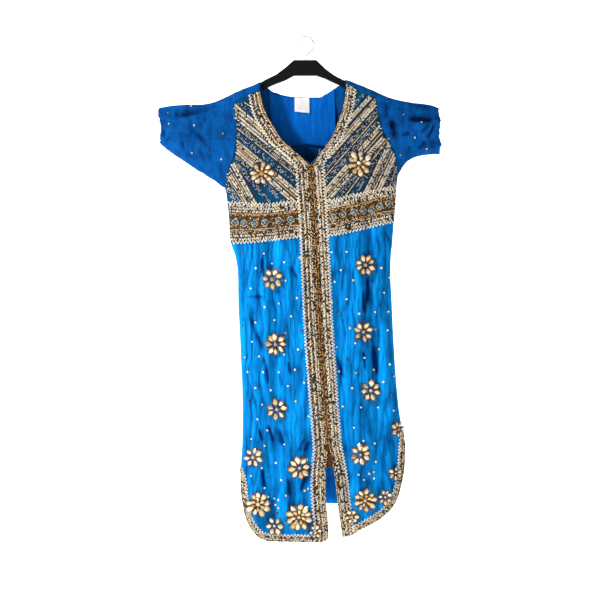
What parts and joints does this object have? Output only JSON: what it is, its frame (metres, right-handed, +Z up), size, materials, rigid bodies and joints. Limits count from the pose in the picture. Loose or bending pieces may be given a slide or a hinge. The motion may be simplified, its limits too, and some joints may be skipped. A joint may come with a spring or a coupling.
{
  "type": "kameez on a hanger",
  "caption": "Short-sleeved kameez with a V neck, a front slit and raised gold trim, hanging flat on a plain hanger.",
  "frame": {"origin": "the inner top of the hanger's hook, where it rests on its rail", "axes": "+Z up, -Y out of the garment's front, +X to the viewer's right as seen from the front"},
  "size_m": [0.7343, 0.0956, 1.3077],
  "materials": {
    "blue_cotton": "crinkled cotton, matt",
    "gold_embroidery": "raised metal thread and beads on cotton",
    "antique_gold": "dull metal cord on cotton",
    "gold_stones": "foiled cut stones in gold settings",
    "label_satin": "white satin tape, blank",
    "black_plastic": "moulded, half gloss",
    "hook_steel": "bright wire"
  },
  "bodies": {
    "root": {"back_bodice_left": "blue_cotton", "back_bodice_right": "blue_cotton", "back_skirt": "blue_cotton", "bust_flower_left": "gold_stones", "bust_flower_right": "gold_stones", "flower_left_1": "gold_stones", "flower_left_2": "gold_stones", "flower_left_3": "gold_stones", "flower_left_4": "gold_stones", "flower_left_5": "gold_stones", "flower_right_1": "gold_stones", "flower_right_2": "gold_stones", "flower_right_3": "gold_stones", "flower_right_4": "gold_stones", "flower_right_5": "gold_stones", "front_bodice_left": "gold_embroidery", "front_bodice_right": "gold_embroidery", "front_skirt_left": "blue_cotton", "front_skirt_right": "blue_cotton", "front_trim_left": "gold_embroidery", "front_trim_right": "gold_embroidery", "hanger": "black_plastic", "hanger_hook": "hook_steel", "hem_flower_left_1": "gold_stones", "hem_flower_left_2": "gold_stones", "hem_flower_left_3": "gold_stones", "hem_flower_left_4": "gold_stones", "hem_flower_right_1": "gold_stones", "hem_flower_right_2": "gold_stones", "hem_flower_right_3": "gold_stones", "hem_flower_right_4": "gold_stones", "hem_trim_left": "gold_embroidery", "hem_trim_right": "gold_embroidery", "neck_facing": "blue_cotton", "neck_label": "label_satin", "placket": "antique_gold", "sleeve_left": "blue_cotton", "sleeve_right": "blue_cotton", "waistband_left": "gold_embroidery", "waistband_right": "gold_embroidery"}
  },
  "joints": []
}
